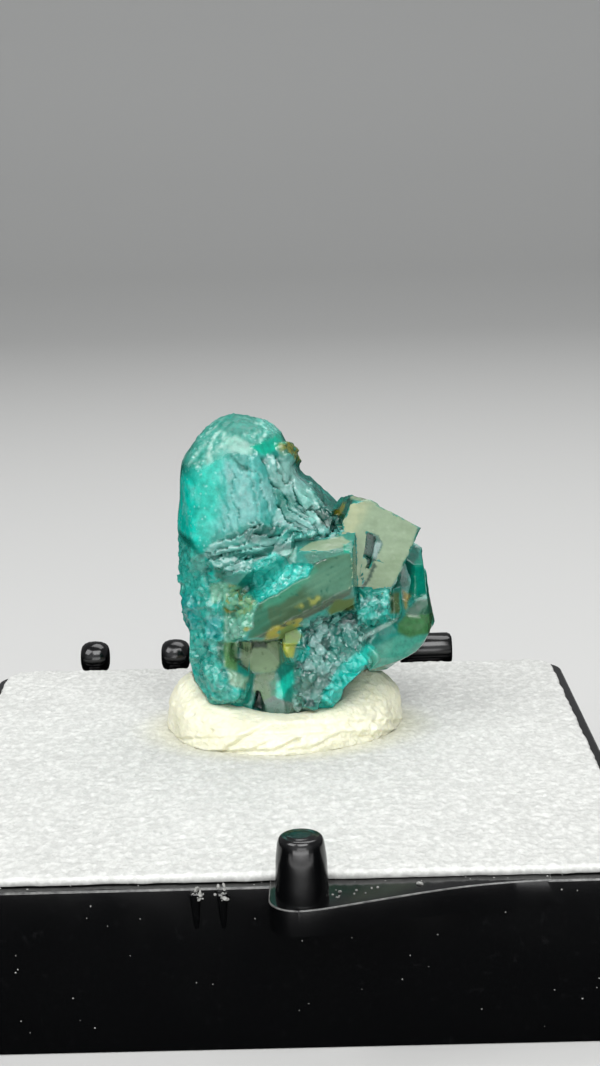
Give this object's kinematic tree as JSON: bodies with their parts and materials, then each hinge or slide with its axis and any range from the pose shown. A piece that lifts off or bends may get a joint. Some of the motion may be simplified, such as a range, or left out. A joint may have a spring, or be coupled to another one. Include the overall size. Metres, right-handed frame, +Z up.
{
  "type": "dioptase mineral specimen in a display box base",
  "caption": "Small blue-green dioptase crystal cluster held upright in a ring of cream putty on the white foam pad of a shallow black display box base with a latch pin and hinge ears.",
  "frame": {"origin": "middle of the flat underside of the box base", "axes": "+Z up; +X to the right and +Y away from a viewer who faces the latch side of the box, as in the picture"},
  "size_m": [0.032, 0.0368, 0.0237],
  "materials": {
    "dioptase": "glassy, blue-green, partly see-through",
    "putty": "matte cream putty",
    "foam": "matte white fine-celled foam",
    "black_plastic": "glossy black"
  },
  "bodies": {
    "root": {"dioptase_cluster": "dioptase", "mounting_putty": "putty", "foam_pad": "foam", "box_base": "black_plastic"}
  },
  "joints": []
}
